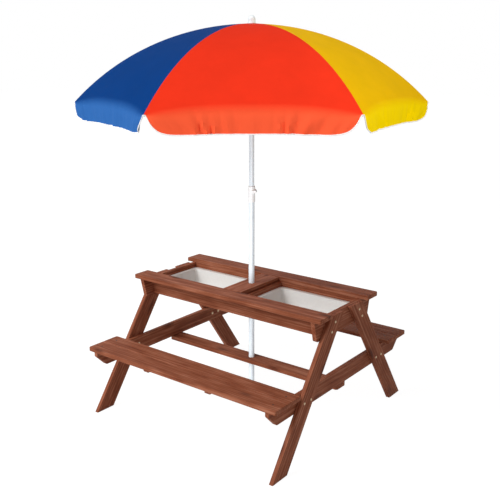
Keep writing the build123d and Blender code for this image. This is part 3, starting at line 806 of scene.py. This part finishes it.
def woven(name, colour, painted_backlight):
    """Thin plain-woven polyester of one dye, painted paler in the valance for the light through it.
    """
    material, tree, shader = new_finish(
        name, Roughness=0.7, Sheen_Weight=0.004, Sheen_Roughness=0.4, Specular_IOR_Level=0.015
    )
    flat = add_node(tree, "ShaderNodeUVMap", {"uv_map": "cut"}).outputs["UV"]
    threads = [
        pattern(
            tree,
            "ShaderNodeTexWave",
            flat,
            {"bands_direction": direction},
            Scale=THREADS_PER_METRE / BANDS_PER_SCALE,
        ).outputs["Fac"]
        for direction in ("X", "Y")
    ]
    weave = sums(tree, "MULTIPLY", *threads)
    dye = pattern(tree, "ShaderNodeTexNoise", flat, Scale=6.0, Detail=5.0, Roughness=0.6)
    worn = tuple(channel * WORN_SHARE for channel in colour)
    tint = ramp(tree, dye.outputs["Fac"], (0.3, worn), (0.7, colour))
    down_the_gore = pattern(tree, "ShaderNodeSeparateXYZ", flat).outputs["Y"]
    # Painted light: from the seam down the dye is blended to a paler colour, for the light that
    # comes through the valance.
    hanging = add_node(
        tree,
        "ShaderNodeMapRange",
        {"interpolation_type": "SMOOTHSTEP"},
        From_Min=GORE_CUT - PALER_FROM,
        From_Max=GORE_CUT + PALER_WITHIN,
    )
    tree.links.new(down_the_gore, hanging.inputs["Value"])
    lit = blend_colour(tree, hanging.outputs["Result"], tint.outputs["Color"], painted_backlight)
    tree.links.new(lit, shader.inputs["Base Color"])
    crumple = pattern(tree, "ShaderNodeTexNoise", flat, Scale=14.0, Detail=3.0)
    relief = sums(tree, "MULTIPLY_ADD", crumple.outputs["Fac"], CRUMPLE_RELIEF, weave)
    bump(tree, shader, relief, WEAVE_STRENGTH, WEAVE_RELIEF)
    return material


# The second colour of each dye is painted light: the valance's colour, paler for the light that
# comes through the cloth.
cloths = {
    "yellow_fabric": woven("yellow_cloth", (0.89, 0.505, 0.0), (0.99, 0.70, 0.0)),
    "blue_fabric": woven("blue_cloth", (0.0005, 0.038, 0.185), (0.027, 0.118, 0.36)),
    "red_fabric": woven("red_cloth", (0.79, 0.034, 0.011), (0.93, 0.106, 0.038)),
}
hem_tape = even_finish("white_hem_tape", (0.93, 0.92, 0.91), 0.7, 0.04, 800)
print(len(cloths), "dyes of cloth, and the white tape of the hem")

# %% [markdown]
# ### Half a gore
# A grid has even squares, but the cloth turns fastest near the ribs' ends and at the seam, so the
# rows and columns are moved closer together there before they are bent into shape. The flat grid's
# places are kept as its UV map, for the weave. The hem tape is a copy of the cloth's lowest edge,
# turned into a curve with a round section and back to a mesh.

# %% Half a gore
FIRST_RIB = -22
COLUMNS = 34
GORE_ROWS = 26
VALANCE_ROWS = 14
CLOSER_TO_RIB = 1.5
CLOSER_TO_SEAM = 1.15
CLOSER_TO_TURN = 1.2
PHASE_STEP = 1.7
CLOTH_THICKNESS = 0.0008
TAPE_RADIUS = 0.0017


def shape_cloth(cloth, number, hand):
    """Moves the points of a flat grid to their places in one half of a gore."""
    middle = radians(FIRST_RIB + (number - 0.5) * GORE_ANGLE)
    flat_places = []
    for vertex in cloth.data.vertices:
        side = (vertex.co.x + 1) / 2
        side = hand * (1 - (1 - side) ** CLOSER_TO_RIB)
        row = (1 - vertex.co.y) / 2 * (GORE_ROWS + VALANCE_ROWS)
        if row <= GORE_ROWS:
            down = 1 - (1 - row / GORE_ROWS) ** CLOSER_TO_SEAM
        else:
            down = 1 + ((row - GORE_ROWS) / VALANCE_ROWS) ** CLOSER_TO_TURN
        out, sideways, up = cloth_point(side, down, PHASE_STEP * number)
        flat_places.append((sideways, min(down, 1) * GORE_CUT + max(0, down - 1) * VALANCE_CUT))
        vertex.co = (
            out * cos(middle) - sideways * sin(middle),
            out * sin(middle) + sideways * cos(middle),
            up,
        )
    layer = cloth.data.uv_layers[0]
    layer.name = "cut"
    for loop in cloth.data.loops:
        layer.data[loop.index].uv = flat_places[loop.vertex_index]


def bound_hem(cloth, name):
    """A round tape along the cloth's lowest edge, which is the grid's first row of points."""
    hem_numbers = set(range(COLUMNS + 1))
    pick(cloth, "edges", lambda edge: set(edge.vertices) <= hem_numbers)
    bpy.ops.mesh.duplicate()
    bpy.ops.mesh.separate(type="SELECTED")
    bpy.ops.mesh.select_all(action="SELECT")
    bpy.ops.mesh.normals_make_consistent(inside=False)
    bpy.ops.object.mode_set(mode="OBJECT")
    tape = [piece for piece in bpy.context.selected_objects if piece != cloth][0]
    tape.name = name
    only(tape)
    bpy.ops.object.convert(target="CURVE")
    tape.data.bevel_depth = TAPE_RADIUS
    tape.data.bevel_resolution = 2
    tape.data.use_fill_caps = True
    bpy.ops.object.convert(target="MESH")
    bpy.ops.object.shade_smooth()
    tape.data.materials.append(hem_tape)
    return tape


def half_gore(number, rib, hand):
    """One half of a gore by a rib, its hem tape, and its area. Hand is -1 or 1 for its side."""
    bpy.ops.object.select_all(action="DESELECT")
    bpy.ops.mesh.primitive_grid_add(
        x_subdivisions=COLUMNS, y_subdivisions=GORE_ROWS + VALANCE_ROWS, size=2
    )
    cloth = bpy.context.object
    cloth.name = f"gore_{number}_by_rib_{rib}"
    shape_cloth(cloth, number, hand)
    area = sum(face.area for face in cloth.data.polygons)
    tape = bound_hem(cloth, f"hem_{number}_by_rib_{rib}")
    only(cloth)
    if cloth.data.polygons[len(cloth.data.polygons) // 2].normal.z < 0:
        cloth.data.flip_normals()
    thickness = cloth.modifiers.new("thickness", "SOLIDIFY")
    thickness.thickness = CLOTH_THICKNESS
    thickness.offset = -1
    bpy.ops.object.modifier_apply(modifier="thickness")
    bpy.ops.object.shade_smooth_by_angle(angle=radians(50))
    return cloth, tape, area


print("a half gore has", COLUMNS * (GORE_ROWS + VALANCE_ROWS), "squares")

# %% [markdown]
# ### Hanging the gores
# The dyes go round the parasol as they do in the photograph, each twice. A half gore and its tape
# ride the same rib.


def hang_on_rib(piece, rib):
    """Lets a soft piece ride its rib, on a copy of its mesh."""
    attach(piece, f"rib_{rib}")
    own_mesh(piece)


gore_dyes = ["yellow_fabric", "blue_fabric", "red_fabric"] * 2
total_area = 0
for number, dye in enumerate(gore_dyes, start=1):
    for hand, rib in ((-1, number), (1, number % RIBS + 1)):
        cloth, tape, area = half_gore(number, rib, hand)
        cloth.data.materials.append(cloths[dye])
        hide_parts(f"canopy_panel_{number}")
        for piece in (cloth, tape):
            hang_on_rib(piece, rib)
            for group in lit_cloth:
                group.link(piece)
        total_area += area
print("cloth in the parasol:", round(total_area, 3), "square metres")
